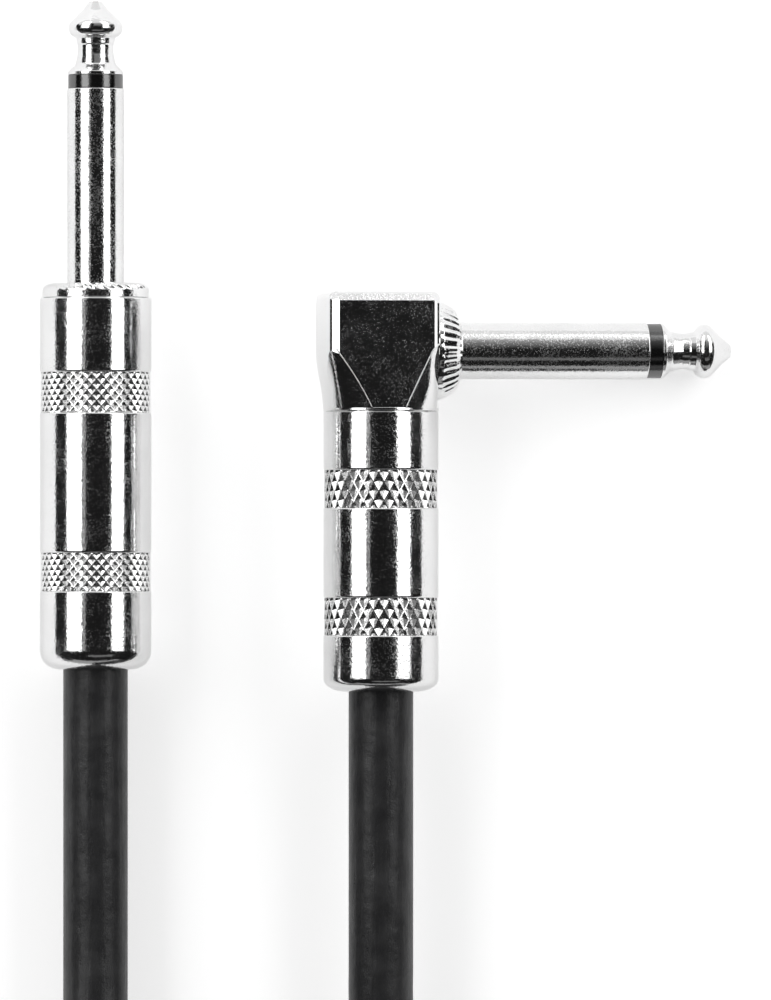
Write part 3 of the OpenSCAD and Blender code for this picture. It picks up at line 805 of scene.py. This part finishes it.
@dataclass(frozen=True)
class Barrel:
    """A screw-on barrel: smooth skin, two knurled bands, round rear edge and the cable's hole."""

    radius: float
    length: float
    rear: Span  # reach of the rear round across the end and along the side
    knurls: tuple[Knurl, ...]
    front_gap: float = 0.05
    front_round: float = 0.15
    bore_r: float = 5.3
    rear_wall: float = 3.0
    hole_r: float = 3.9
    groove: float = 0.5
    lip: float = 0.32
    low_lip: float = 0.6
    rear_lead: float = 0.1
    rear_turn: float = 1.5  # radians
    rear_steps: int = 17

    def skin(self) -> Shape:
        """Turned barrel with a groove under each knurl, and the knurls in them.

        Returns:
            The barrel.
        """
        r, end = self.radius, -self.length
        corners = [Corner(self.bore_r, -self.front_gap), Corner(r, -self.front_gap, self.front_round)]
        for knurl in self.knurls:
            high, low = knurl.ends()
            corners += [
                Corner(r, high, self.lip), Corner(r - self.groove, high), Corner(r - self.groove, low),
                Corner(r, low, self.low_lip, 8),
            ]
        across, along = self.rear
        corners.append(Corner(r, end + along + self.rear_lead))
        for a in spread(0, self.rear_turn, self.rear_steps):
            corners.append(Corner(r - across * (1 - math.cos(a)), end + along * (1 - math.sin(a))))
        corners += [
            Corner(self.hole_r, end, 0.06), Corner(self.hole_r, end + self.rear_wall, 0.1),
            Corner(self.bore_r, end + self.rear_wall),
        ]
        shape = Shape().turn(corners, MANY).clean().soften()
        for knurl in self.knurls:
            shape.join(knurl.band())
        return shape

    def build(self, side: str, place: Matrix, body: Body) -> None:
        """Makes and lays a plug's barrel, its knurls on a second material."""
        piece = self.skin().lay(f"{side}_barrel_knurled", place, NICKEL, body, f"{side}_barrel")
        piece.data.materials.append(KNURLED.material())


@dataclass(frozen=True)
class Ridges:
    """Ridges round a collar, with a rounded slot between each two."""

    count: int
    depth: float
    power: float  # how narrow the slots are
    drop: float  # how far a slot sinks along the axis, as a share of its depth
    start: Span  # radius and height where the slots start
    fade: Span  # over how much radius and height they reach their depth
    twist: float = 0.0  # slant, in radians for a millimetre of height

    def carve(self, at: Vector) -> Vector:
        """Sinks the slots.

        Args:
            at: a point of the collar.

        Returns:
            The point, sunk where it lies in a slot.
        """
        place = (at.xy.length, at.z)
        fade = min(1, *((p - start) / over for p, start, over in zip(place, self.start, self.fade)))
        if fade <= 0:
            return at
        wave = 0.5 + 0.5 * math.cos(self.count * (math.atan2(at.y, at.x) + self.twist * at.z))
        return sink(at, self.depth * fade * wave**self.power, self.drop)


@dataclass(frozen=True)
class Stub:
    """Threaded stub that a barrel screws onto, from its root down."""

    bore: float
    length: float
    radius: float = 5.25
    pitch: float = 0.8
    depth: float = 0.25
    plain: float = 0.3
    rings: int = 6

    def threaded(self) -> Shape:
        """Turns the stub and cuts its thread.

        Returns:
            The stub.
        """
        rows = round(self.rings * self.length / self.pitch)
        outside = [Corner(self.radius, z) for z in spread(0, -self.length, rows)]
        shape = Shape().turn([Corner(self.bore, 0), *outside, Corner(self.bore, -self.length)], FEW)
        return shape.move(self.thread).clean().soften(60)

    def thread(self, at: Vector) -> Vector:
        """Sinks the thread's valleys, which run out at the root.

        Args:
            at: a point of the stub.

        Returns:
            The point, sunk where it lies in a valley.
        """
        if at.xy.length < self.radius - 0.01:
            return at
        share = (math.atan2(at.y, at.x) / TAU - at.z / self.pitch) % 1
        fade = max(0, min(1, (-at.z - self.plain) / self.pitch))
        return sink(at, self.depth * abs(2 * share - 1) * fade)


@dataclass(frozen=True)
class StraightPlug:
    """The straight plug: finger, domed collar with its stub, and barrel."""

    contact: Contact = Contact(
        root=1.6, reach=33.04168, sleeve_len=21.7, neck_len=0.8, rod_end=-10.63, tube_end=-8.65,
        sleeve_tail=(
            Corner(2.9, 1.59), Corner(2.9, -7), Corner(2.6, -7), Corner(2.6, -8.65), Corner(1.73, -8.65),
        ),
    )
    barrel: Barrel = Barrel(
        6.225, 41.4, (2.2, 2.1),
        (
            Knurl(8.05, 5.05, 37, 0.596, 0.49, 6.13, 0.3),
            Knurl(28.15, 4.8, 37, 0.596, 0.49, 6.13, 0.3),
        ),
    )
    stub: Stub = Stub(bore=2.63, length=8.0)
    ridges: Ridges = Ridges(32, depth=0.2, power=2, drop=0.4, start=(4.3, 0.85), fade=(0.2, 0.25), twist=0.246)
    collar_bore: float = 2.93
    dome_r: Span = (4.4, 5.93)
    dome_z: Span = (0.65, 1.63)
    dome_power: float = 0.85
    dome_steps: int = 26

    def collar(self) -> Shape:
        """Domed collar with slanting ridges round its shoulder.

        Returns:
            The collar.
        """
        (inner, outer), (low, high) = self.dome_r, self.dome_z
        dome = []
        for a in spread(0, math.pi / 2, self.dome_steps):
            across, up = (max(0.0, share) ** self.dome_power for share in (math.sin(a), math.cos(a)))
            dome.append(Corner(inner + (outer - inner) * across, low + (high - low) * up))
        corners = [
            Corner(self.collar_bore, high), *dome, Corner(outer, 0.0, 0.08, 3), Corner(self.collar_bore, 0.0),
        ]
        shape = Shape().turn(corners, self.ridges.count * 12)
        return shape.move(self.ridges.carve).clean().soften(50)

    def build(self) -> None:
        """Makes and lays every visible piece of the plug."""
        self.contact.build("straight", STRAIGHT)
        collar = self.collar().join(self.stub.threaded())
        collar.lay("straight_collar_ridged", STRAIGHT, NICKEL, Body.CABLE, "straight_collar")
        self.barrel.build("straight", STRAIGHT, Body.STRAIGHT_BARREL)
        dress(FIBRE, "straight_washer")
        dress_inside("straight")


@dataclass(frozen=True)
class AngledPlug:
    """The right-angle plug: finger, ridged collar, block with its stub, back cover and barrel."""

    contact: Contact = Contact(
        root=8.7, reach=39.44168, sleeve_len=21.2, neck_len=0.6, rod_end=-2.2, tube_end=1.0,
        sleeve_tail=(Corner(2.9, 8.69), Corner(2.9, 1.0), Corner(1.73, 1.0)),
    )
    barrel: Barrel = Barrel(
        6.4, 31.2, (2.4, 1.45),
        (
            Knurl(6.3, 4.75, 34, 1.036, 0.61, 6.3, 0.34, ridge=0.07),
            Knurl(20.5, 4.7, 34, 1.036, 0.61, 6.3, 0.34, ridge=0.07),
        ),
    )
    stub: Stub = Stub(bore=4.2, length=7.0)
    ridges: Ridges = Ridges(34, depth=0.18, power=1.3, drop=0.3, start=(3.6, 6.1), fade=(0.6, 0.5))
    collar_bore: float = 2.93
    cone: Profile = (  # radius and height of each corner
        (5.6, 5.62), (5.6, 6.35), (5.36, 6.9), (5.1, 7.4), (4.85, 7.85), (4.5, 8.3), (4.0, 8.55), (3.5, 8.7),
    )
    height: float = 13.25
    front: float = 5.85
    back: float = 6.6
    half: float = 6.2
    near_edge: Profile = ((1.05, 0), (0.3, 0.46), (0.08, 0.71), (0, 1.05))
    far_edge: Profile = ((0.72, 0), (0.46, 0.083), (0.2, 0.24), (0.05, 0.55), (0, 0.9))
    corner: float = 1.85
    corner_lean: float = 1.2
    foot_base: float = 0.3
    foot_top: float = 9.3
    foot_curve: Triple = (6.45, 0.12, 0.0215)  # its radius at the base, and how it grows with height
    foot_limit: float = 9.4
    foot_shift: float = 0.475  # how far it leans back, and over how much height
    shift_over: float = 6.8
    square_over: float = 3.0  # height over which it turns square
    seam_r: float = 0.06
    seam_span: Span = (0.4, 6.85)
    rim: tuple[Corner, ...] = (
        Corner(5.0, 0.02), Corner(5.0, 0.34), Corner(6.47, 0.34, 0.05), Corner(6.47, 0.02, 0.08),
    )
    cover: tuple[Corner, ...] = (
        Corner(0, -6.58), Corner(2.7, -6.58, 0.12), Corner(2.82, -6.42, 0.05), Corner(3.0, -6.42, 0.05),
        Corner(3.0, -5.75), Corner(0, -5.75),
    )

    def collar(self) -> Shape:
        """Collar with straight ridges over its cone.

        Returns:
            The collar.
        """
        cone = [Corner(r, z, 0.2, 3) for r, z in self.cone]
        corners = [Corner(self.collar_bore, cone[0].z), *cone, Corner(self.collar_bore, cone[-1].z)]
        shape = Shape().turn(corners, self.ridges.count * 10)
        return shape.move(self.ridges.carve).clean().soften(50)

    def foot(self, z: float) -> Triple:
        """Outline of the foot at a height.

        Args:
            z: the height.

        Returns:
            Its half width in a broad face, its shift to the front, and how square it is: 2 is round.
        """
        base, slope, curve = self.foot_curve
        round_r = base + slope * z + curve * z * z
        shift = -self.foot_shift * min(1.0, z / self.shift_over) ** 2
        return math.sqrt(round_r**2 - self.half**2), shift, 2 + min(1.0, z / self.square_over)

    def flare(self, at: Vector) -> Vector:
        """Spreads a rod of radius 1 to the foot, which is round below and squarer above.

        Args:
            at: a point of the rod.

        Returns:
            The point of the foot.
        """
        reach, shift, square = self.foot(at.z)
        radius = min((reach**square + self.half**square) ** (1 / square), self.foot_limit)
        bulge = max(1e-9, abs(at.x) ** square + abs(at.y) ** square) ** (1 / square)
        grown = radius * at.xy.length / bulge
        return Vector((at.x * grown + shift, at.y * grown, at.z))

    def chamfer(self, shape: Shape, first: Vector, second: Vector, profile: Profile) -> None:
        """Cuts the small flats of an edge between two faces.

        Args:
            shape: the block.
            first: from the middle to the face that the profile starts on.
            second: from the middle to the other face.
            profile: how far each point lies behind the second face, then behind the first.
        """
        a, b = first.normalized(), second.normalized()
        for (i, d), (k, e) in zip(profile, profile[1:]):
            shape.cut(a * (first.length - d) + b * (second.length - i), a * (i - k) + b * (e - d))

    def block(self) -> Shape:
        """Square housing with flat faces, small flats along its edges and a turned foot that flares.

        Returns:
            The housing.
        """
        levels = [*spread(self.foot_base, self.foot_top, 36), self.height + 1]
        outline = [Corner(1, z) for z in levels]
        shape = Shape().turn([Corner(0, levels[0]), *outline, Corner(0, levels[-1])], MANY)
        shape.move(self.flare)
        top, left, right = Vector((0, 0, self.height)), Vector((-self.back, 0, 0)), Vector((self.front, 0, 0))
        faces = (Vector((0, -self.half, 0)), Vector((0, self.half, 0)))
        for face in (top, left, right, *faces):
            shape.cut(face, face)
        for face in faces:
            self.chamfer(shape, face, left, self.near_edge)
            self.chamfer(shape, face, right, self.far_edge)
            self.chamfer(shape, face, top, self.near_edge)
        for face in (left, right):
            self.chamfer(shape, face, top, self.far_edge)
            for broad in faces:
                toward = face.normalized() + self.corner_lean * broad.normalized() + top.normalized()
                shape.cut(face + broad + top - toward * self.corner / toward.length_squared, toward)
        return shape.clean().soften(8)

    def seams(self) -> Shape:
        """Fine raised lines where the foot runs into the two broad faces.

        Returns:
            The lines.
        """
        shape = Shape()
        for side in (-1, 1):
            for way in (-1, 1):
                path = []
                for z in spread(*self.seam_span, 24):
                    reach, shift, _ = self.foot(z)
                    path.append(Vector((shift + way * reach, side * self.half, z)))
                shape.join(Shape().sweep(path, self.seam_r, 8))
        return shape

    def build(self) -> None:
        """Makes and lays every visible piece of the plug."""
        self.contact.build("angled", FINGER)
        self.collar().lay("angled_collar_ridged", FINGER, NICKEL, Body.CABLE, "angled_collar")
        rim = Shape().turn(self.rim, MANY).clean().soften()
        block = self.block().join(self.seams()).join(rim).join(self.stub.threaded())
        block.lay("angled_block_housing", ANGLED, NICKEL, Body.CABLE, "angled_block")
        cover = Shape().turn(self.cover, FEW).clean().soften()
        cover.lay("angled_back_disc", FINGER, NICKEL, Body.CABLE, "angled_back_cover")
        self.barrel.build("angled", ANGLED, Body.ANGLED_BARREL)
        dress(INSULATOR, "angled_inner_bush", "angled_stub_bush")
        dress_inside("angled")


# ---- cable


@dataclass(frozen=True)
class Cable:
    """The cable from one plug to the other, with its spare length wound in a tied coil."""

    diameter: float = 7.2
    centre: Span = (9.65506, -147.09584)
    inner_r: float = 23.0
    step: float = 7.7
    layers: int = 4
    start_angle: float = 21.0
    turns: float = 13 - 101 / 360
    climb_turn: float = 0.5
    climb_ease: float = 0.2
    bottom: float = 4.8
    rings_per_turn: int = 48
    sides: int = 32
    barrel_len: float = 41.4
    straight_route: tuple[Triple, ...] = (
        (0, -19.6, 0), (0, -28, 0), (0, -36, 0), (0, -44, 0), (0, -52, 0), (0, -60, 0), (0, -67, 0),
        (0, -74, 0), (0, -80, 0.4), (0, -86, 1.6), (0, -92, 3.8), (0, -98, 7), (0, -103, 10.8),
        (0, -108, 14.6), (0, -114, 17.8), (0, -120, 20), (0, -126, 21.2), (-0.2, -131.4, 21.6),
    )
    angled_route: tuple[Triple, ...] = (
        (0, -15.6, 0), (0, -24, 0), (0, -32, 0), (0, -40, 0), (0, -48, 0), (0, -56, 0), (0, -61, -0.2),
        (0, -66, -0.4), (0.3, -70.2, -0.8), (1.1, -74.2, -1.3), (2.4, -78, -1.8), (4.2, -81.8, -2.4),
        (6.5, -85.2, -2.8), (9.3, -88.4, -3.2), (12.4, -91.2, -3.5), (15.7, -93.5, -3.6),
    )

    def coil_point(self, w: float) -> Vector:
        """Point of the coil after w turns, wound inwards and outwards in turn, layer on layer.

        Args:
            w: number of turns.

        Returns:
            The point.
        """
        layer_turns = (self.turns - self.climb_turn * (self.layers - 1)) / self.layers
        outer = self.inner_r + layer_turns * self.step
        layer = min(self.layers - 1, math.floor(w / (layer_turns + self.climb_turn)))
        u = w - layer * (layer_turns + self.climb_turn)
        v = max(0.0, u - layer_turns)
        inward = layer % 2 == 0
        r = outer - self.step * u if inward else self.inner_r + self.step * u
        if v > 0:
            swing = self.step * v * (1 - v / self.climb_turn)
            r = self.inner_r - swing if inward else outer + swing
        a = math.radians(self.start_angle) + TAU * w
        share = v / self.climb_turn
        lift = layer + share - self.climb_ease * math.sin(TAU * share) / TAU
        x, y = self.centre
        return Vector((x + r * math.sin(a), y + r * math.cos(a), self.bottom + self.step * lift))

    def path(self) -> list[Vector]:
        """Middle line of the whole cable, from the straight plug's jacket end to the angled one's.

        Returns:
            Points of the line, in order.
        """
        count = round(self.rings_per_turn * self.turns)
        coil = [self.coil_point(self.turns * (1 - k / count)) for k in range(count + 1)]
        leaving = self.diameter * (coil[0] - coil[1]).normalized()
        entering = self.diameter * (coil[-1] - coil[-2]).normalized()
        there = [STRAIGHT_AT + Vector(p) for p in self.straight_route] + [coil[0] + leaving]
        back = [coil[-1] + entering] + [ANGLED_AT + Vector(p) for p in reversed(self.angled_route)]
        return smooth_run(there, coil[0], 3) + coil + smooth_run(back[::-1], coil[-1], 3)[::-1]

    def build(self) -> None:
        path = self.path()
        piece = Shape().sweep(path, self.diameter / 2, self.sides).lay(
            "cable", WORLD, JACKET, Body.CABLE, "cable_straight_run", "cable_coil", "cable_angled_run"
        )


def smooth_run(points: Sequence[Vector], beyond: Vector, pieces: int) -> list[Vector]:
    """Rounds a route between its points.

    Args:
        points: the route.
        beyond: the point that follows its last one.
        pieces: number of steps between two points.

    Returns:
        Points of the smooth route, its last one left in.
    """
    chain = [2 * points[0] - points[1], *points, beyond]
    run = []
    for a, b, c, d in zip(chain, chain[1:], chain[2:], chain[3:]):
        for s in range(pieces):
            t = s / pieces
            bend = 2 * b + t * (c - a) + t * t * (2 * a - 5 * b + 4 * c - d) + t**3 * (3 * b - a - 3 * c + d)
            run.append(bend / 2)
    return run + [points[-1]]


@dataclass(frozen=True)
class Strap:
    """Woven strap round the coil, its end lapped over itself on top."""

    width: float = 12.0
    thickness: float = 1.0
    corner: float = 3.5
    start: float = 2.5
    lap: float = 24.0
    lap_rise: float = 0.8
    climb: Span = (-1.5, 0.5)  # where the end climbs, from the strap's start
    flick: Span = (3.0, 0.15)  # length and height of the end's turned-up edge
    bend: float = 2.0
    x: float = 9.65506

    def route(self) -> list[Vector]:
        """Middle line of the strap: from under its lapped end once round the turns and over its start.

        Returns:
            Points of the line, in order.
        """
        low, high = (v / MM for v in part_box("coil_strap"))
        t = self.thickness
        near, far, bottom, top = low.y + t / 2, high.y - t / 2, low.z + t / 2, high.z - t / 2
        start, over = near + self.corner + self.start, top + self.lap_rise
        turns = [(far, top), (far, bottom), (near, bottom), (near, top)]
        end = start + self.lap
        bends = [(start + self.climb[0], top), (start + self.climb[1], over), (end - self.flick[0], over)]
        corners = [
            Corner(start, top), *(Corner(y, z, self.corner, 6) for y, z in turns),
            *(Corner(y, z, self.bend, 4) for y, z in bends), Corner(end, over + self.flick[1]),
        ]
        return [Vector((0, p.x, p.z)) for p in rounded(corners, closed=False)]

    def build(self) -> None:
        """Makes the strap in the place of its solid."""
        shape = Shape()
        bm = shape.bm
        laid = bm.verts.layers.float_vector.new("laid")
        loop = self.route()
        along = 0.0
        last = None
        for k, point in enumerate(loop):
            if k:
                along += (point - loop[k - 1]).length
            pair = []
            for side in (-1, 1):
                vert = bm.verts.new(point + Vector((self.x + side * self.width / 2, 0, 0)))
                vert[laid] = Vector((along, side * self.width / 2, 0)) * MM
                pair.append(vert)
            edge = bm.edges.new(pair)
            if last:
                bmesh.ops.bridge_loops(bm, edges=[last, edge])
            last = edge
        bmesh.ops.remove_doubles(bm, verts=bm.verts, dist=1e-4)
        bmesh.ops.recalc_face_normals(bm, faces=bm.faces)
        bmesh.ops.solidify(bm, geom=bm.faces[:], thickness=self.thickness / 2)
        shape.soften(50).lay("coil_tie", WORLD, WEBBING, Body.CABLE, "coil_strap")


# ---- studio


@dataclass(frozen=True)
class Softbox:
    """A large soft lamp over the object, with its reach in metres and its brightness as a card's."""

    name: str
    x: Span
    y: Span
    z: float
    radiance: float

    def build(self) -> None:
        """Hangs the lamp, facing down."""
        lamp = bpy.data.lights.new(self.name, "AREA")
        lamp.shape = "RECTANGLE"
        lamp.size = self.x[1] - self.x[0]
        lamp.size_y = self.y[1] - self.y[0]
        lamp.energy = WATTS * self.radiance * lamp.size * lamp.size_y
        holder = bpy.data.objects.new(self.name, lamp)
        holder.location = (sum(self.x) / 2, sum(self.y) / 2, self.z)
        bpy.context.scene.collection.objects.link(holder)


@dataclass(frozen=True)
class Card:
    """A studio card that gives off a little light, even or fading across it."""

    name: str
    x: Span
    y: Span
    z: Span
    near: float
    far: float

    def build(self) -> None:
        """Stands the card: y and z give its lower and upper edge."""
        bm = bmesh.new()
        bmesh.ops.create_grid(bm, x_segments=1, y_segments=1, size=0.5)
        for vert in bm.verts:
            a, b = vert.co.x + 0.5, vert.co.y + 0.5
            vert.co = Vector((
                self.x[0] + a * (self.x[1] - self.x[0]),
                self.y[0] + b * (self.y[1] - self.y[0]),
                self.z[0] + b * (self.z[1] - self.z[0]),
            ))
        material = bpy.data.materials.new(self.name)
        nodes = Nodes(material)
        split = nodes.add("ShaderNodeSeparateXYZ", {0: nodes.object_place()})
        axis, span = (1, self.y) if abs(self.y[1] - self.y[0]) > abs(self.z[1] - self.z[0]) else (2, self.z)
        strength = nodes.ranged(split.outputs[axis], span, (self.near, self.far))
        nodes.surface(nodes.add("ShaderNodeEmission", {"Strength": strength}).outputs[0])
        card = linked(self.name, bm)
        card.data.materials.append(material)
        card.visible_camera = False
        card.visible_shadow = False


@dataclass(frozen=True)
class Studio:
    """Pale floor, soft lamps, cards and camera."""

    target: Triple = (-0.000035, -0.01713, 0.0062)
    distance: float = 1.3
    elevation: float = math.radians(89.8)
    lens: float = 420.0
    paper: tuple[Colour, Colour] = ((0.82, 0.82, 0.82), (0.85, 0.85, 0.85))
    paper_scale: float = 30
    floor_half: float = 4.0
    floor_glow: float = 0.5
    floor_mirrored: float = 0.3
    sky_soft: float = 0.4
    sky_dark: float = 0.011
    softboxes: tuple[Softbox, ...] = (
        Softbox("softbox_left", (-1.04, -0.345), (-0.07, 1.6), 0.6, 2.0),
        Softbox("softbox_right", (0.39, 1.06), (-0.06, 1.6), 0.6, 2.0),
    )
    cards: tuple[Card, ...] = (
        Card("backdrop_card", (-4.0, 4.0), (2.0, 2.0), (0.0, 2.0), 0.8, 0.8),
        Card("graded_card", (-0.12, 0.34), (0.065, 0.69), (0.62, 0.62), 0.0, 0.4),
        Card("strip_card", (-0.295, -0.26), (-0.07, 1.6), (0.62, 0.62), 0.5, 0.5),
        Card("line_card", (-0.2, 0.5), (-0.55, -0.35), (0.62, 0.62), 0.15, 0.15),
        Card("low_card", (-0.9, 0.9), (-1.2, -1.2), (0.0, 0.53), 0.3, 0.3),
    )

    def camera(self) -> None:
        """Makes the camera, nearly straight above the plugs."""
        lens = bpy.data.cameras.new("camera")
        lens.lens = self.lens
        lens.sensor_fit = "AUTO"
        lens.sensor_width = 36
        lens.clip_end = 20
        holder = bpy.data.objects.new("camera", lens)
        back = Vector((0, -math.cos(self.elevation), math.sin(self.elevation)))
        holder.location = Vector(self.target) + back * self.distance
        holder.rotation_euler = (-back).to_track_quat("-Z", "Y").to_euler()
        bpy.context.scene.collection.objects.link(holder)
        bpy.context.scene.camera = holder

    def floor(self) -> None:
        """Makes the pale floor, which keeps the object's shadow."""
        bm = bmesh.new()
        bmesh.ops.create_grid(bm, x_segments=8, y_segments=8, size=self.floor_half)
        material = bpy.data.materials.new("floor_paper")
        nodes = Nodes(material)
        tone = nodes.blend(nodes.noise(nodes.object_place(), self.paper_scale), *self.paper)
        paper = nodes.add("ShaderNodeBsdfDiffuse", {"Color": tone}).outputs[0]
        path = nodes.add("ShaderNodeLightPath")
        seen = nodes.math("MAXIMUM", path.outputs["Is Camera Ray"], path.outputs["Is Transmission Ray"])
        seen = nodes.math("MULTIPLY", seen, self.floor_glow)
        mirrored = nodes.math("MULTIPLY", path.outputs["Is Glossy Ray"], self.floor_mirrored)
        glow = nodes.add("ShaderNodeEmission", {"Strength": nodes.math("MAXIMUM", seen, mirrored)}).outputs[0]
        nodes.surface(nodes.add("ShaderNodeAddShader", {0: paper, 1: glow}).outputs[0])
        floor = linked("floor", bm)
        floor.data.materials.append(material)

    def sky(self) -> None:
        """Makes the world: white behind the object, dark in its reflections, soft as light."""
        world = bpy.data.worlds.new("studio")
        bpy.context.scene.world = world
        nodes = Nodes(world)
        path = nodes.add("ShaderNodeLightPath")
        white = nodes.math("MAXIMUM", path.outputs["Is Camera Ray"], path.outputs["Is Transmission Ray"])
        soft = nodes.math("MULTIPLY", path.outputs["Is Diffuse Ray"], self.sky_soft)
        strength = nodes.math("ADD", nodes.math("MAXIMUM", white, soft), self.sky_dark)
        shine = nodes.add("ShaderNodeBackground", {"Strength": strength}).outputs[0]
        nodes.add("ShaderNodeOutputWorld", {"Surface": shine})

    def build(self) -> None:
        """Makes the whole studio."""
        self.camera()
        self.floor()
        self.sky()
        for part in (*self.softboxes, *self.cards):
            part.build()
        bpy.context.scene.view_settings.view_transform = "Standard"


def main() -> None:
    """Builds the studio, then the cable and both plugs."""
    logging.basicConfig(level=logging.INFO, format="%(name)s: %(message)s")
    Studio().build()
    parts: Iterable[Cable | Strap | StraightPlug | AngledPlug] = (Cable(), Strap(), StraightPlug(), AngledPlug())
    for part in parts:
        LOG.info("building %s", type(part).__name__)
        part.build()


if __name__ == "__main__":
    main()
